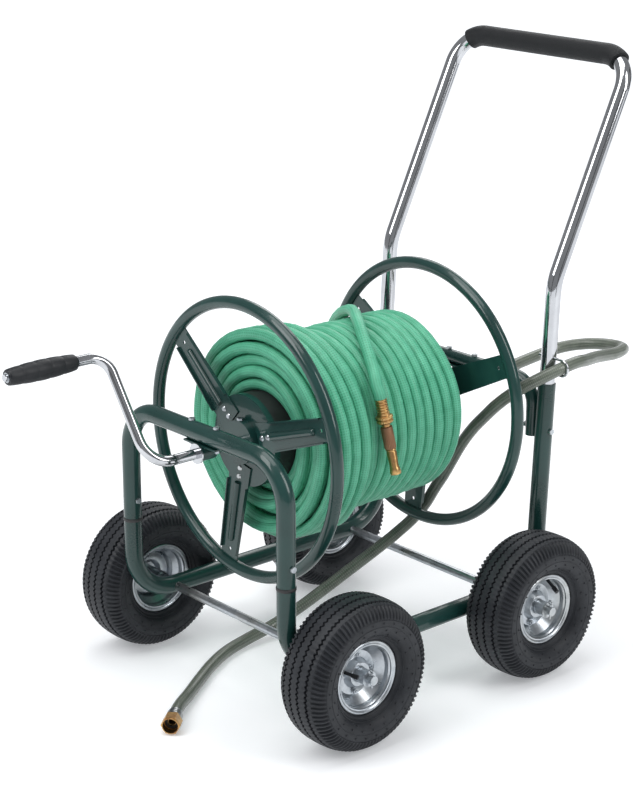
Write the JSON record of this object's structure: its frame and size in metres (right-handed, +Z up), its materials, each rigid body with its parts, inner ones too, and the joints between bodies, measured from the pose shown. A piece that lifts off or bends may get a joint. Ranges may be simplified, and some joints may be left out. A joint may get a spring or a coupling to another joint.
{
  "type": "garden hose reel cart",
  "caption": "Four-wheeled tube-frame garden hose reel cart with a crank-wound drum, chrome push handle, pneumatic wheels and a leader hose.",
  "frame": {"origin": "on the floor, under the middle of the box that holds the cart without its hoses", "axes": "+Z up, +Y from the crank towards the push handle, +X to the right as seen from the crank"},
  "size_m": [0.662, 1.2202, 1.0781],
  "materials": {
    "green_enamel": "gloss",
    "chrome_plate": "polished",
    "zinc_steel": "satin",
    "zinc_rim": "bright zinc",
    "brass": "satin",
    "tyre_rubber": "matte",
    "black_rubber": "matte",
    "foam": "fine foam",
    "black_plastic": "matte",
    "green_hose": "fine ribbed",
    "braided_hose": "translucent with braid"
  },
  "bodies": {
    "chassis": {"left_side_rail": "green_enamel", "right_side_rail": "green_enamel", "front_frame": "green_enamel", "rear_bearing_bar": "green_enamel", "push_handle": "chrome_plate", "handle_foam_grip": "foam", "frame_bolts": "zinc_steel", "hose_hook": "chrome_plate", "front_axle": "zinc_steel", "rear_axle": "zinc_steel", "axle_spacers": "zinc_steel", "axle_washers": "zinc_steel", "cotter_pins": "zinc_steel", "front_bearing_bracket": "green_enamel", "front_bush": "chrome_plate", "rear_bearing_bracket": "green_enamel", "rear_bush": "chrome_plate", "bearing_bolts": "zinc_steel", "inlet_swivel_body": "brass", "inlet_hose_nut": "brass", "leader_hose": "braided_hose", "leader_ferrule": "zinc_steel", "leader_tail": "brass"},
    "reel": {"front_ring": "green_enamel", "rear_ring": "green_enamel", "front_spokes": "green_enamel", "rear_spokes": "green_enamel", "front_hub_plate": "green_enamel", "rear_hub_plate": "green_enamel", "drum_barrel": "black_plastic", "reel_shaft": "zinc_steel", "outlet_pipe": "brass", "flange_rivets": "zinc_steel", "crank_arm": "chrome_plate", "crank_clamp_bolt": "zinc_steel", "crank_grip_washers": "zinc_steel", "hose_pack": "green_hose", "hose_free_end": "green_hose", "nozzle_body": "brass", "nozzle_nut": "brass"},
    "crank_grip": {"crank_grip": "black_rubber"},
    "nozzle_barrel": {"nozzle_barrel": "brass"},
    "leader_coupling": {"leader_coupling_nut": "brass", "leader_washer": "black_rubber"},
    "front_left_wheel": {"front_left_tyre": "tyre_rubber", "front_left_rim": "zinc_rim", "front_left_hub": "zinc_steel", "front_left_valve": "black_rubber"},
    "front_right_wheel": {"front_right_tyre": "tyre_rubber", "front_right_rim": "zinc_rim", "front_right_hub": "zinc_steel", "front_right_valve": "black_rubber"},
    "rear_left_wheel": {"rear_left_tyre": "tyre_rubber", "rear_left_rim": "zinc_rim", "rear_left_hub": "zinc_steel", "rear_left_valve": "black_rubber"},
    "rear_right_wheel": {"rear_right_tyre": "tyre_rubber", "rear_right_rim": "zinc_rim", "rear_right_hub": "zinc_steel", "rear_right_valve": "black_rubber"}
  },
  "joints": [
    {"name": "reel_spin", "type": "hinge", "parent": "chassis", "child": "reel", "pos_m": [0, 0, 0.459], "axis": [0, 1, 0], "continuous": true},
    {"name": "crank_grip_spin", "type": "hinge", "parent": "reel", "child": "crank_grip", "pos_m": [-0.11472, -0.48, 0.62283], "axis": [0, 1, 0], "continuous": true},
    {"name": "nozzle_twist", "type": "hinge", "parent": "reel", "child": "nozzle_barrel", "pos_m": [0.17915, -0.00097, 0.47249], "axis": [0.1593, 0.129, -0.9788], "range_deg": [-180, 180]},
    {"name": "coupling_swivel", "type": "hinge", "parent": "chassis", "child": "leader_coupling", "pos_m": [0.05075, -0.37127, 0.018], "axis": [0.6691, -0.7431, 0], "continuous": true},
    {"name": "front_left_wheel_spin", "type": "hinge", "parent": "chassis", "child": "front_left_wheel", "pos_m": [-0.279, -0.167, 0.131], "axis": [1, 0, 0], "continuous": true},
    {"name": "front_right_wheel_spin", "type": "hinge", "parent": "chassis", "child": "front_right_wheel", "pos_m": [0.279, -0.167, 0.131], "axis": [1, 0, 0], "continuous": true},
    {"name": "rear_left_wheel_spin", "type": "hinge", "parent": "chassis", "child": "rear_left_wheel", "pos_m": [-0.279, 0.257, 0.131], "axis": [1, 0, 0], "continuous": true},
    {"name": "rear_right_wheel_spin", "type": "hinge", "parent": "chassis", "child": "rear_right_wheel", "pos_m": [0.279, 0.257, 0.131], "axis": [1, 0, 0], "continuous": true}
  ]
}
